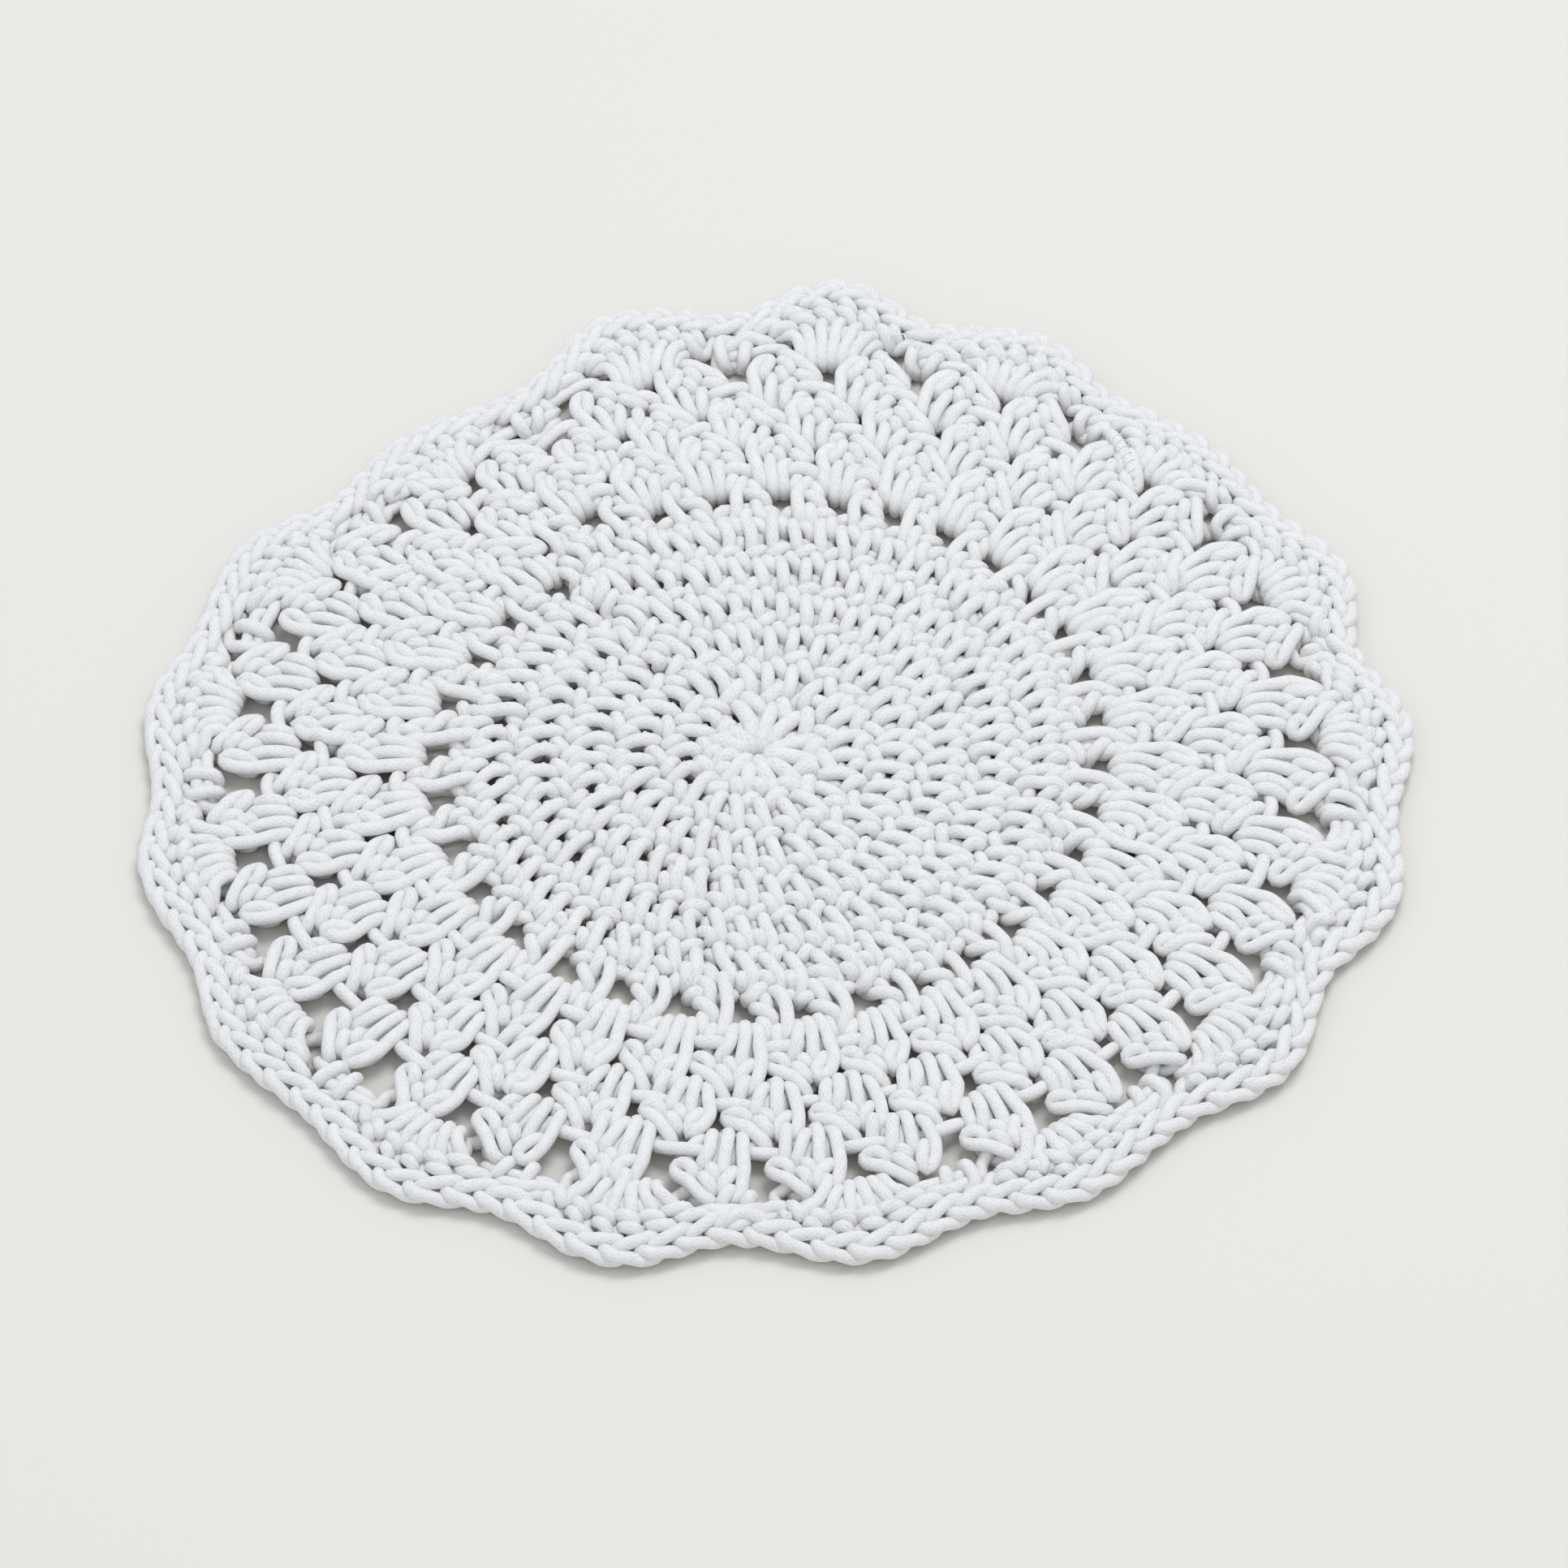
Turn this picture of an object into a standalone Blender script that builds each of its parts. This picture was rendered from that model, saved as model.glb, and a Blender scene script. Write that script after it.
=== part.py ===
"""Round crochet placemat of thick, soft cotton cord, lying flat.

One cord is worked outwards in a spiral: a dense centre, an open turn of posts, three turns of
clusters, a turn of fans, and a chained edge that draws the fans into seventeen uneven scallops.
The mat is one flat solid. Its upper face is raised into the stitches, its underside is flat, and
its larger gaps are cut through.
Units are metres and degrees, +Z is up, and the origin is under the middle of the first stitches.
"""

import math

import bmesh
import bpy
import numpy as np
from mathutils.geometry import delaunay_2d_cdt

MM = 0.001

# The cord, and heights of the worked mat above the table
CORD = 3.7 * MM
CROWN = 2.6 * CORD
SHOULDER = 2.2 * CORD
CLEFT = 1.8 * CORD
HOLLOW = 1.25 * CORD
RIM = 1.1 * CORD

# The spiral: each turn starts at the seam, and a turn of the dense centre is this much wider
SEAM = 134.0
CENTRE_TURNS = 6
CENTRE_RISE = 14.06 * MM
CENTRE_START = -3.04 * MM
PETALS = 12
STAR_CROWN = 9 * MM
STITCH = 7.9 * MM

# The open turns: posts and clusters take turns at this pitch, 34.5 to a round
REPEAT = 360.0 / 34.5
CLUSTERS_A_TURN = 34
CLUSTER_TURNS = 3
FIRST_CLUSTER = SEAM + 2.5

# Where each turn's foot lies between the dense centre's edge and the fans' feet, by turn
FEET = {6: 0.0, 7: 0.16, 8: 0.467, 9: 0.715, 10: 1.0}

# The rounds aren't quite about the star: stitches half way out are turned by up to this angle
SLIP = 5.0
SLIP_RADIUS = 95 * MM

# A row for each fan, anticlockwise from the seam, and one that closes the turn. The angle is of
# the fan's middle. The radii, in mm, are of the dense centre's edge, the fan's foot, the fan's
# crest and the dip after it.
SCALLOPS = np.array(
    [
        # angle inner foot crest dip
        (131, 80, 140, 166, 163),
        (153, 83, 147, 177, 175),
        (174, 86, 155, 183, 179),
        (194, 87, 158, 187, 182),
        (215, 89, 163, 190, 187),
        (236, 89, 164, 194, 185),
        (257, 89, 161, 193, 180),
        (280, 90, 161, 190, 183),
        (301, 91, 163, 190, 186),
        (323, 91, 165, 196, 188),
        (344, 93, 166, 198, 192),
        (363, 93, 168, 197, 185),
        (382, 95, 165, 194, 185),
        (402, 95, 161, 186, 180),
        (422, 95, 161, 190, 181),
        (442, 94, 157, 193, 176),
        (463, 92, 151, 183, 162),
        (491, 91, 140, 166, 163),
    ]
)
FAN_ANGLES = SCALLOPS[:, 0]
INNER, FOOT, CREST, DIP = (SCALLOPS[:, column] * MM for column in (1, 2, 3, 4))
DIP_ANGLES = (FAN_ANGLES[:-1] + FAN_ANGLES[1:]) / 2
STITCHES_A_FAN = 8
EDGE_POINTS = 12
EDGE_WIDTH = 9.5 * MM

# The kinds of gap: half width along the turn, half height outwards, and how far the gap's middle
# lies outside the foot of the turn that it belongs to
GAPS = {
    "post": (3.8 * MM, 2.5 * MM, 6.2 * MM),
    "inner cluster": (2.4 * MM, 2.6 * MM, -2.0 * MM),
    "outer cluster": (2.6 * MM, 3.0 * MM, -2.5 * MM),
    "fan": (4.2 * MM, 3.8 * MM, -4.5 * MM),
    "dip": (3.2 * MM, 4.6 * MM, -3.0 * MM),
}
GAP_SIDES = 8
GAP_MARGIN = 1.5 * MM
LEAST_SPACING = 1.9 * MM
INSIDE_LOOPS = 1

COTTON = (0.80, 0.80, 0.78, 1.0)


def foot(turn, angle):
    """Radius of a turn's foot at an angle counted on from the seam."""
    inner = np.interp(angle, FAN_ANGLES, INNER)
    if turn <= CENTRE_TURNS:
        turns = turn + (angle - SEAM) / 360
        rim_turns = CENTRE_TURNS + (angle - SEAM) / 360
        plain = max(CENTRE_RISE * turns + CENTRE_START, 0.0)
        return plain * inner / (CENTRE_RISE * rim_turns + CENTRE_START)
    fans = np.interp(angle, FAN_ANGLES, FOOT)
    if turn > 10:
        return outline(angle) - EDGE_WIDTH
    share = np.interp(turn, list(FEET), list(FEET.values()))
    return inner + share * (fans - inner)


def outline(angle):
    """Radius of the mat's edge: half cosine waves from each fan's crest to the dips beside it."""
    knots = np.empty(2 * len(DIP_ANGLES) + 1)
    radii = np.empty_like(knots)
    knots[::2], knots[1::2] = FAN_ANGLES, DIP_ANGLES
    radii[::2], radii[1::2] = CREST, DIP[:-1]
    angle = knots[0] + (angle - knots[0]) % 360
    place = np.clip(np.searchsorted(knots, angle) - 1, 0, len(knots) - 2)
    share = (angle - knots[place]) / (knots[place + 1] - knots[place])
    blend = 0.5 - 0.5 * math.cos(math.pi * share)
    return radii[place] + blend * (radii[place + 1] - radii[place])


def spot(turn, angle, outwards=0.0):
    """A stitch's place on the mat: x and y from its turn, its angle, and metres further out."""
    radius = foot(turn, angle)
    near = min(radius / SLIP_RADIUS, SLIP_RADIUS / max(radius, MM))
    angle = angle + near * (1 - SLIP * math.sin(math.radians(angle)))
    return polar(foot(turn, angle) + outwards, angle)


def polar(radius, angle):
    """x and y of a radius and an angle in degrees."""
    return radius * math.cos(math.radians(angle)), radius * math.sin(math.radians(angle))


def cluster_angles():
    """The turn and the angle of each cluster in the order they are worked."""
    for number in range(CLUSTERS_A_TURN * CLUSTER_TURNS):
        turns, angle = divmod(FIRST_CLUSTER - SEAM + REPEAT * number, 360)
        yield 7 + int(turns), SEAM + angle


def centre_stitches():
    """The turn, angle and pitch in degrees of each stitch of the dense centre after its star."""
    angle = SEAM
    turn = 1
    while turn < CENTRE_TURNS:
        middle = CENTRE_RISE * (turn + 0.5 + (angle - SEAM) / 360) + CENTRE_START
        pitch = math.degrees(STITCH / middle)
        yield turn, angle, pitch
        angle += pitch
        if angle > SEAM + 360:
            angle -= 360
            turn += 1


def raise_centre(points):
    """The star's petals, then a bar for each stitch of the dense turns, with a groove at its foot."""
    points.append((0.0, 0.0, HOLLOW))
    for petal in range(PETALS):
        angle = 360 * (petal + 0.25) / PETALS
        points.append((*polar(STAR_CROWN, angle), CROWN))
        points.append((*polar(STAR_CROWN, angle + 180 / PETALS), HOLLOW))
    for turn, angle, pitch in centre_stitches():
        points.append((*spot(turn + 0.55, angle), CROWN))
        points.append((*spot(turn + 0.5, angle + pitch / 2), CLEFT))
        points.append((*spot(turn + 0.05, angle), HOLLOW))
        points.append((*spot(turn + 0.05, angle + pitch / 2), HOLLOW))


def raise_posts(points):
    """A foot and a head for each post of the open turn, and the chain that they stand on."""
    for number in range(CLUSTERS_A_TURN):
        angle = FIRST_CLUSTER + REPEAT * (number + 0.5)
        points.append((*spot(6, angle, CORD), SHOULDER))
        points.append((*spot(7, angle, -0.5 * CORD), CROWN))
        points.append((*spot(7, angle, 1.5 * CORD), HOLLOW))
        points.append((*spot(6, angle - REPEAT / 2, 0.5 * CORD), HOLLOW))


def raise_clusters(points):
    """A lump for each cluster: its drawn-in foot, two ribs, a gathered head and wide shoulders."""
    lump = (
        # along, outwards, height
        (0.00, 0.12, SHOULDER),
        (-0.20, 0.45, CROWN),
        (0.20, 0.45, CROWN),
        (0.00, 0.62, SHOULDER),
        (-0.32, 0.85, SHOULDER),
        (0.30, 0.85, CROWN),
        (0.02, 0.95, CROWN),
        (0.50, 0.80, HOLLOW),
    )
    for turn, angle in cluster_angles():
        tall = foot(turn + 1, angle) - foot(turn, angle) + 1.4 * CORD
        for along, outwards, height in lump:
            points.append((*spot(turn, angle + along * REPEAT, outwards * tall), height))


def raise_fans(points):
    """Eight ribs that spread from each fan's foot, with hollows between their heads."""
    for angle, low, high in zip(FAN_ANGLES[:-1], FOOT, CREST):
        tall = high - EDGE_WIDTH - low
        for rib in range(STITCHES_A_FAN):
            lean = rib - (STITCHES_A_FAN - 1) / 2
            points.append((*polar(low + CORD, angle + 0.62 * lean), SHOULDER))
            points.append((*polar(low + 0.6 * tall - 0.2 * CORD * abs(lean), angle + 1.35 * lean), CROWN))
            if rib:
                points.append((*polar(low + 0.7 * tall, angle + 1.5 * (lean - 0.5)), CLEFT))
                points.append((*polar(low + 1.05 * tall, angle + 1.8 * (lean - 0.5)), HOLLOW))
    for angle in DIP_ANGLES:
        low = np.interp(angle, FAN_ANGLES, FOOT)
        points.append((*polar(low + 1.6 * CORD, angle - 0.6), SHOULDER))
        points.append((*polar(low + 1.6 * CORD, angle + 0.6), SHOULDER))


def edge_loop(inwards):
    """x and y of points round the whole edge, a length inside it, evenly spread in each scallop."""
    loop = []
    for start, end in zip(FAN_ANGLES[:-1], FAN_ANGLES[1:]):
        for step in range(EDGE_POINTS):
            angle = start + (end - start) * step / EDGE_POINTS
            loop.append(polar(outline(angle) - inwards, angle))
    return loop


def raise_edge(points):
    """The chained edge: a round ridge near the rim, and the hollow inside it."""
    ridge = edge_loop(0.7 * CORD)
    hollow = edge_loop(1.9 * CORD)
    points.extend((x, y, SHOULDER) for x, y in ridge)
    points.extend((x, y, HOLLOW) for x, y in hollow[::2])


def gap_centres():
    """The kind, radius and angle of each gap that is cut through."""
    for turn, angle in cluster_angles():
        kind = "inner cluster" if turn == 8 else "outer cluster"
        if turn == 7:
            x, y = spot(6, angle, GAPS["post"][2])
            yield "post", math.hypot(x, y), math.degrees(math.atan2(y, x))
        else:
            x, y = spot(turn, angle, GAPS[kind][2])
            yield kind, math.hypot(x, y), math.degrees(math.atan2(y, x))
    for angle, low in zip(FAN_ANGLES[:-1], FOOT):
        yield "fan", low + GAPS["fan"][2], angle
    for angle in DIP_ANGLES:
        yield "dip", np.interp(angle, FAN_ANGLES, FOOT) + GAPS["dip"][2], angle


def gap_loop(kind, radius, angle, margin=0.0):
    """A gap's outline, an oval that is turned to the mat's middle."""
    wide, high, _ = GAPS[kind]
    loop = []
    for side in range(GAP_SIDES):
        around = 2 * math.pi * (side + 0.5) / GAP_SIDES
        out = radius + (high + margin) * math.sin(around)
        along = math.degrees((wide + margin) * math.cos(around) / radius)
        loop.append(polar(out, angle + along))
    return loop


def inside(points, loop):
    """Which of the points a convex loop, going either way round, holds."""
    loop = np.asarray(loop)
    ahead = np.roll(loop, -1, axis=0) - loop
    offset = points[:, None, :2] - loop[None]
    side = ahead[None, :, 0] * offset[:, :, 1] - ahead[None, :, 1] * offset[:, :, 0]
    return np.all(side > 0, axis=1) | np.all(side < 0, axis=1)


def thinned(points):
    """The points without those that lie too near an earlier one."""
    kept = np.empty((0, 3))
    for point in points:
        if not len(kept) or np.min(np.hypot(*(kept[:, :2] - point[:2]).T)) > LEAST_SPACING:
            kept = np.vstack((kept, point))
    return kept


def triangles(flat, loops):
    """Triangles over the flat points, inside the first loop and outside the others.

    The other loops are convex, so a triangle lies in one if all its corners are that loop's.
    """
    borders = []
    owner = []
    for number, loop in enumerate(loops):
        start, count = len(owner), len(loop)
        borders.extend((start + i, start + (i + 1) % count) for i in range(count))
        owner += [number] * count
    owner = np.array(owner + [0] * (len(flat) - len(owner)))
    result = delaunay_2d_cdt([tuple(p) for p in flat], borders, [], INSIDE_LOOPS, 1e-7)
    if len(result[0]) != len(flat):
        raise ValueError("two points of the mat meet")
    back = np.array([origins[0] for origins in result[3]])
    faces = back[np.array(result[2])]
    owners = owner[faces]
    in_gap = (owners[:, 0] > 0) & (owners.min(axis=1) == owners.max(axis=1))
    return [tuple(face) for face in faces[~in_gap].tolist()]


def make_mat():
    """The mat as one closed solid: relief above, walls round each loop, and a flat underside."""
    gaps = list(gap_centres())
    loops = [edge_loop(0.0)] + [gap_loop(*gap) for gap in gaps]
    rim = np.array([(x, y, RIM) for loop in loops for x, y in loop])

    points = []
    for raised in (raise_edge, raise_fans, raise_clusters, raise_posts, raise_centre):
        raised(points)
    points = np.array(points)
    for gap in gaps:
        points = points[~inside(points, gap_loop(*gap, margin=GAP_MARGIN))]
    points = thinned(points)

    top = np.vstack((rim, points))
    top_faces = triangles(top[:, :2], loops)
    base_faces = triangles(rim[:, :2], loops)
    base = rim * (1, 1, 0)
    vertices = np.vstack((top, base))
    first = len(top)

    faces = list(top_faces)
    faces += [tuple(first + corner for corner in reversed(face)) for face in base_faces]
    start = 0
    for count in map(len, loops):
        for i in range(count):
            a, b = start + i, start + (i + 1) % count
            faces.append((first + a, first + b, b, a))
        start += count
    mesh = bpy.data.meshes.new("mat")
    mesh.from_pydata([tuple(v) for v in vertices], [], faces)
    mesh.validate()
    return mesh


def outward(mesh):
    """The mesh with all its faces pointing out of the solid."""
    work = bmesh.new()
    work.from_mesh(mesh)
    bmesh.ops.triangulate(work, faces=work.faces)
    bmesh.ops.recalc_face_normals(work, faces=work.faces)
    work.to_mesh(mesh)
    work.free()
    return mesh


def cotton():
    """Matt off-white cotton."""
    material = bpy.data.materials.new("off-white cotton cord")
    material.use_nodes = True
    shader = material.node_tree.nodes["Principled BSDF"]
    shader.inputs["Base Color"].default_value = COTTON
    shader.inputs["Roughness"].default_value = 0.9
    shader.inputs["Metallic"].default_value = 0.0
    return material


def main():
    for old in list(bpy.data.objects):
        bpy.data.objects.remove(old)
    mesh = outward(make_mat())
    mesh.materials.append(cotton())
    mesh.shade_smooth()
    mesh.set_sharp_from_angle(angle=math.radians(60))
    mat = bpy.data.objects.new("mat", mesh)
    bpy.context.scene.collection.objects.link(mat)


main()
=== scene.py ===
"""Round crochet placemat of thick off-white cotton cord, as photographed from the front.

Every strand is one continuous cord that follows a table of points for each kind of stitch. The
tables are laid along the mat's spiral, the cord is let settle so that strands press on each other
without crossing, and a round tube with a braided surface is drawn along it.
"""

import math

import bpy
import numpy as np
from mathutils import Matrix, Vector


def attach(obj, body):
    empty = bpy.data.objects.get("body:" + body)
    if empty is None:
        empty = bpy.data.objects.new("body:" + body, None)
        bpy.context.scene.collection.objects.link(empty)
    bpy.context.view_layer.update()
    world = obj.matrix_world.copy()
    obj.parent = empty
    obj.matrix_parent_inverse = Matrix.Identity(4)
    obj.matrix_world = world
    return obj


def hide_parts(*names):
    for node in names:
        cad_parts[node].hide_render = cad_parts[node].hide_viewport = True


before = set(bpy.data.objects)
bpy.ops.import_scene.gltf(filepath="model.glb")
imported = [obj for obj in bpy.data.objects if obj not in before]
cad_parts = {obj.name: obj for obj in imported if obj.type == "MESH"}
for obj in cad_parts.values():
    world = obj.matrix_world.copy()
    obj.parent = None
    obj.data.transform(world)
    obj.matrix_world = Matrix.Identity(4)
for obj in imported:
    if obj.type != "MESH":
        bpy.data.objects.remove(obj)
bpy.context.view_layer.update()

MM = 0.001
CORD = 3.7 * MM

# Keeps divisions from nought
TINY = 0.001 * MM

# The spiral. It is that of the solid mat, with the open turns drawn a little further out. Angles
# are in degrees, anticlockwise from the right. Turns are counted outwards from the star.
SEAM = 134.0
CENTRE_TURNS = 6
CENTRE_RISE = 14.06 * MM
CENTRE_START = -3.04 * MM
REPEAT = 360.0 / 34.5
CLUSTERS_A_TURN = 34
CLUSTER_TURNS = 3
FIRST_CLUSTER = SEAM + 2.5
FAN_TURN = 10
EDGE_TURN = 11
EDGE_WIDTH = 8.5 * MM

# Where each open turn's foot lies, as a share of the way from the dense centre to the fans' feet
FEET_TURNS = (6, 7, 8, 9, 10)
FEET_SHARES = (0.0, 0.235, 0.535, 0.785, 1.06)

# Degrees past the seam at which a turn starts to run over into the next, and how many it takes
JOIN_START = 335.0
JOIN_SPAN = 25.0

# Degrees by which stitches have slipped round, all of them and then those in front more and those
# behind less. It is most at the radius given.
SLIP_ALL = 1.0
SLIP = 5.0
SLIP_RADIUS = 95 * MM

# A row for each fan, anticlockwise from the seam: angle of its middle, then radii in mm of the
# dense centre's edge, the fan's foot, the fan's crest and the dip after it
SCALLOPS = np.array(
    [
        # angle inner foot crest dip
        (131, 80, 140, 166, 163),
        (153, 83, 147, 177, 175),
        (174, 86, 155, 183, 179),
        (194, 87, 158, 187, 182),
        (215, 89, 163, 190, 187),
        (236, 89, 164, 194, 185),
        (257, 89, 161, 193, 180),
        (280, 90, 161, 190, 183),
        (301, 91, 163, 190, 186),
        (323, 91, 165, 196, 188),
        (344, 93, 166, 198, 192),
        (363, 93, 168, 197, 185),
        (382, 95, 165, 194, 185),
        (402, 95, 161, 186, 180),
        (422, 95, 161, 190, 181),
        (442, 94, 157, 193, 176),
        (463, 92, 151, 183, 162),
        (491, 91, 140, 166, 163),
    ],
    dtype=float,
)
FAN_ANGLES = SCALLOPS[:, 0]
INNER, FOOT, CREST, DIP = (SCALLOPS[:, column] * MM for column in (1, 2, 3, 4))
DIP_ANGLES = (FAN_ANGLES[:-1] + FAN_ANGLES[1:]) / 2

# Stitches. A lean is how many degrees further round a stitch's head lies than its foot.
STAR_STITCHES = 12
STAR_FOOT = 2.6 * MM
STITCH = 7.1 * MM
DENSE_LEAN = 1.2
POST_LEAN = 1.0
CLUSTER_FOOT = 0.4
CLUSTER_HEAD = -0.2
CLUSTER_GROWTH = 0.05
FAN_STITCHES = 6
FAN_FEET = (-2.6, 3.0)
FAN_CURVE = 1.7
LINK_STEP = 2.8
SEAM_LINK_PAST_DIP = 5.0
LAST_GAP = ("link", "link", "short", "link")

# The least radius of the cord's line, and the least at which a length becomes an angle
INNERMOST = 1.2 * MM
TURNING_RADIUS = 4 * MM

# How far stitches stray from the pattern: sideways, outwards and upwards in cord widths, then in
# width and height as shares. The second row is what is left of each on the fans and the edge, and
# the last value is the most, in spreads.
STRAY = (0.30, 0.13, 0.07, 0.06, 0.025)
EDGE_STRAY = (0.5, 0.3, 0.5, 0.6, 0.3)
MOST_STRAY = 2

# How the cord settles. Every few rounds it is searched for strands within reach of each other, but
# for points that follow each other along it.
ROUNDS = 160
SEARCH_EVERY = 6
SEARCH_REACH = 1.25 * CORD
PASSED_OVER = 4

# The strength of each step: the push that parts two strands, the power of a point's number of
# meetings by which its pushes are shared, the pull to even spacing, the easing of bends and the
# pull towards where the point began
PUSH = 0.75
CROWDING = 0.6
PULL = 0.5
EASE = 0.16
HOMING = 0.012

# The heights between which the cord's line is kept
LOWEST = 0.49 * CORD
HIGHEST = 2.5 * CORD

# How far apart strands settle at each turn, as shares of the cord's width
TOUCH_TURNS = (6, 7, 9, 10)
TOUCH_SHARES = (0.92, 0.90, 0.90, 0.85)

# How the cord is drawn: steps of the curve between two points of a stitch, the spacing of its rings,
# their sides, how far its tips stand out as a share of its radius, and the slanted direction from
# which its rings' turning is worked out
SEED = 7
CURVE_STEPS = 12
SPACING = 1.6 * MM
SIDES = 10
TIP = 0.5
SLANT = (0.31, 0.23, 0.92)

# Its thickness: soft cord looks a little thicker than it measures, and more so where its stitches
# are tight. The share by which it wanders changes every forty points and has a limit in spreads.
DRAWN = 4.0 * MM
DRAWN_TURNS = (0, 1, 6, 9, 10)
DRAWN_SHARES = (1.23, 1.07, 1.04, 1.02, 1.0)
THICKNESS_CHANGE = 0.035
MOST_CHANGE = 1.5
CHANGE_EVERY = 40

TURN_PIECES = (
    # first turn, last turn, names of the pieces that share their cord
    (0, 3, ("star_turns",)),
    (4, 5, ("dense_turns",)),
    (6, 7, ("inner_open_turns",)),
    (8, 8, ("middle_clusters",)),
    (9, 9, ("outer_clusters",)),
    (10, 10, ("front_fans_and_edge", "back_fans_and_edge")),
)

# Each stitch is a table of the points that its cord passes through, in working order. "Along" is
# clockwise, in stitch pitches and in cord widths; "out" is a share of the row's height and in cord
# widths; "up" is in cord widths above the table.

# A stitch of the dense centre: a strand slanting over it, its leg up from the row below, its head
DENSE_STITCH = (
    # along pitches, along cords, out share, out cords, up
    (0.72, 0.0, 0.60, 0.0, 0.80),
    (0.64, 0.0, 0.69, 0.0, 1.70),
    (0.36, 0.0, 0.80, 0.0, 2.30),
    (0.08, 0.0, 0.92, 0.0, 1.90),
    (0.00, 0.0, 0.96, 0.0, 1.00),
    (0.15, 0.0, 0.88, 0.0, 0.50),
    (0.52, 0.0, 0.62, 0.0, 0.90),
    (0.56, 0.0, 0.48, 0.0, 1.45),
    (0.38, 0.0, 0.30, 0.0, 1.40),
    (0.20, 0.0, 0.12, 0.0, 0.70),
    (0.11, 0.0, 0.00, 0.0, 0.80),
    (0.08, 0.0, 0.12, 0.0, 1.80),
    (0.04, 0.0, 0.34, 0.0, 2.30),
    (-0.02, 0.0, 0.60, 0.0, 2.30),
    (-0.05, 0.0, 0.80, 0.0, 1.80),
    (-0.02, 0.0, 0.96, 0.0, 0.95),
    (0.32, 0.0, 1.26, 0.0, 0.95),
    (0.16, 0.0, 1.24, 0.0, 1.75),
    (-0.12, 0.0, 1.13, 0.0, 1.95),
    (-0.42, 0.0, 1.02, 0.0, 1.40),
    (-0.56, 0.0, 0.85, 0.0, 0.60),
)

# A post of the open turn: a strand slanting across it, then two legs up from the row below
POST = (
    # along pitches, along cords, out share, out cords, up
    (0.00, 1.90, 0.95, 0.00, 0.70),
    (0.00, 1.00, 0.90, 0.00, 0.55),
    (0.00, 0.08, 0.88, 0.00, 0.90),
    (0.00, -0.20, 0.76, 0.00, 1.60),
    (0.00, 0.46, 0.60, 0.00, 2.25),
    (0.00, 1.12, 0.42, 0.00, 2.00),
    (0.00, 1.49, 0.30, 0.00, 1.20),
    (0.00, 1.24, 0.14, 0.00, 0.80),
    (0.00, 0.83, -0.05, 0.00, 0.70),
    (0.00, 0.66, -0.25, 0.00, 0.60),
    (0.00, 0.49, -0.20, 0.00, 0.90),
    (0.00, 0.37, 0.00, 0.00, 1.40),
    (0.00, 0.34, 0.18, 0.00, 2.00),
    (0.00, 0.46, 0.45, 0.00, 1.30),
    (0.00, 0.62, 0.68, 0.00, 1.10),
    (0.00, 0.71, 0.88, 0.00, 1.60),
    (0.00, 0.58, 1.10, 0.00, 1.60),
    (0.00, 0.25, 1.22, 0.00, 0.90),
    (0.00, 0.00, 0.95, 0.00, 0.60),
    (0.00, -0.17, 0.50, 0.00, 0.60),
    (0.00, -0.34, 0.05, 0.00, 0.60),
    (0.00, -0.46, -0.25, 0.00, 0.60),
    (0.00, -0.54, -0.20, 0.00, 0.90),
    (0.00, -0.66, 0.02, 0.00, 1.40),
    (0.00, -1.00, 0.18, 0.00, 2.20),
    (0.00, -1.20, 0.48, 0.00, 2.20),
    (0.00, -1.12, 0.78, 0.00, 1.90),
    (0.00, -0.66, 1.00, 0.00, 1.60),
    (0.00, -0.17, 1.12, 0.00, 1.50),
    (0.00, -0.17, 1.28, 0.00, 0.80),
)

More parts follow.
